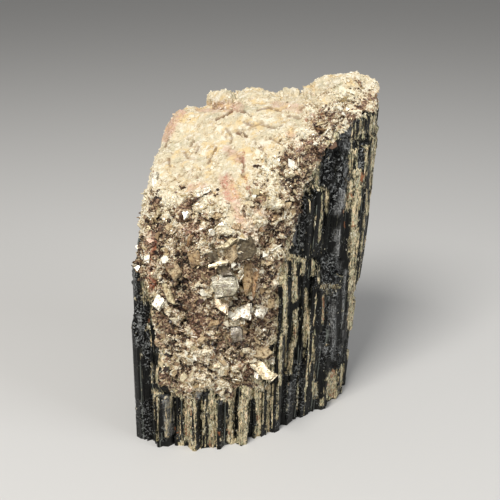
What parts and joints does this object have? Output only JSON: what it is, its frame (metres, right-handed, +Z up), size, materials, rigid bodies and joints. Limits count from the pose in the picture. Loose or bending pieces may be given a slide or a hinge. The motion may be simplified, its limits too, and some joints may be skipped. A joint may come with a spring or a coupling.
{
  "type": "black tourmaline crystal specimen",
  "caption": "Natural black tourmaline crystal with striated sides and a mica and feldspar crust, standing on its flat broken base.",
  "frame": {"origin": "middle of the flat base that the crystal stands on, at the middle of the object's box", "axes": "+Z up along the prism, -Y out of the crusted front, +X to the right side seen from the front"},
  "size_m": [0.0708, 0.0576, 0.1007],
  "materials": {
    "black_tourmaline": "glassy black mineral with fine upright striations",
    "mica_crust": "rough granular crust full of small glinting mica flakes",
    "feldspar": "cream granular feldspar with rusty cracks",
    "mica_plates": "pearly mica plates"
  },
  "bodies": {
    "root": {"tourmaline_crystal": "black_tourmaline"}
  },
  "joints": []
}
